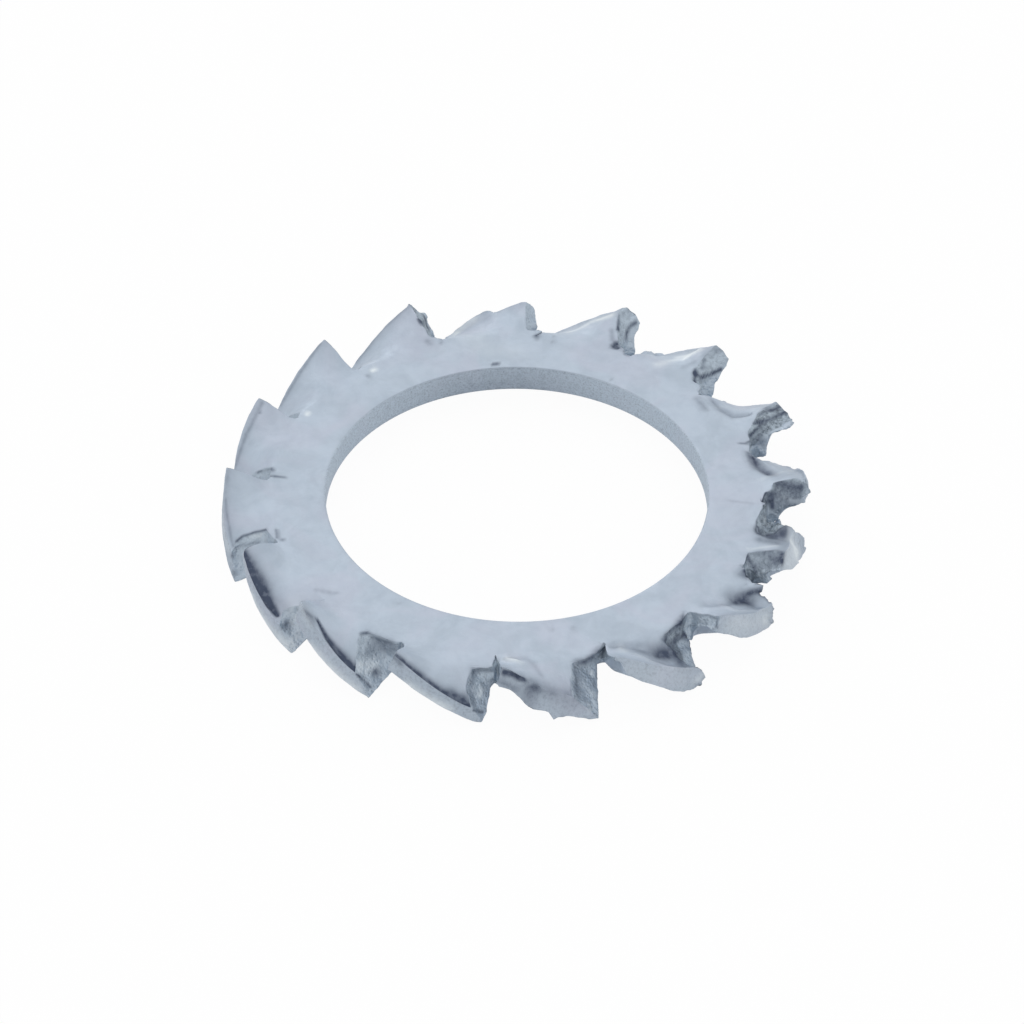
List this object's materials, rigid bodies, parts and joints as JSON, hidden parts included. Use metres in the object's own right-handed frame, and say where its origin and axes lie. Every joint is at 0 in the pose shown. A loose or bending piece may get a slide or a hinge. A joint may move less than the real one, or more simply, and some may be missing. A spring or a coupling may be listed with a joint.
{
  "type": "serrated lock washer",
  "caption": "Flat spring steel ring with a plain bore and a rim of short external teeth, each twisted so that one corner stands up and the other hangs down.",
  "frame": {"origin": "on the bore's axis, halfway through the thickness of the flat band", "axes": "+Z along the bore's axis and up as the washer lies; seen from +Z, the clockwise corner of each tooth is the raised one"},
  "size_m": [0.0198, 0.0198, 0.0025],
  "materials": {
    "zinc_plated_steel": "pale blue zinc plating with a soft satin sheen, rough and darker on the broken edges of the teeth"
  },
  "bodies": {
    "root": {"lock_washer": "zinc_plated_steel"}
  },
  "joints": []
}
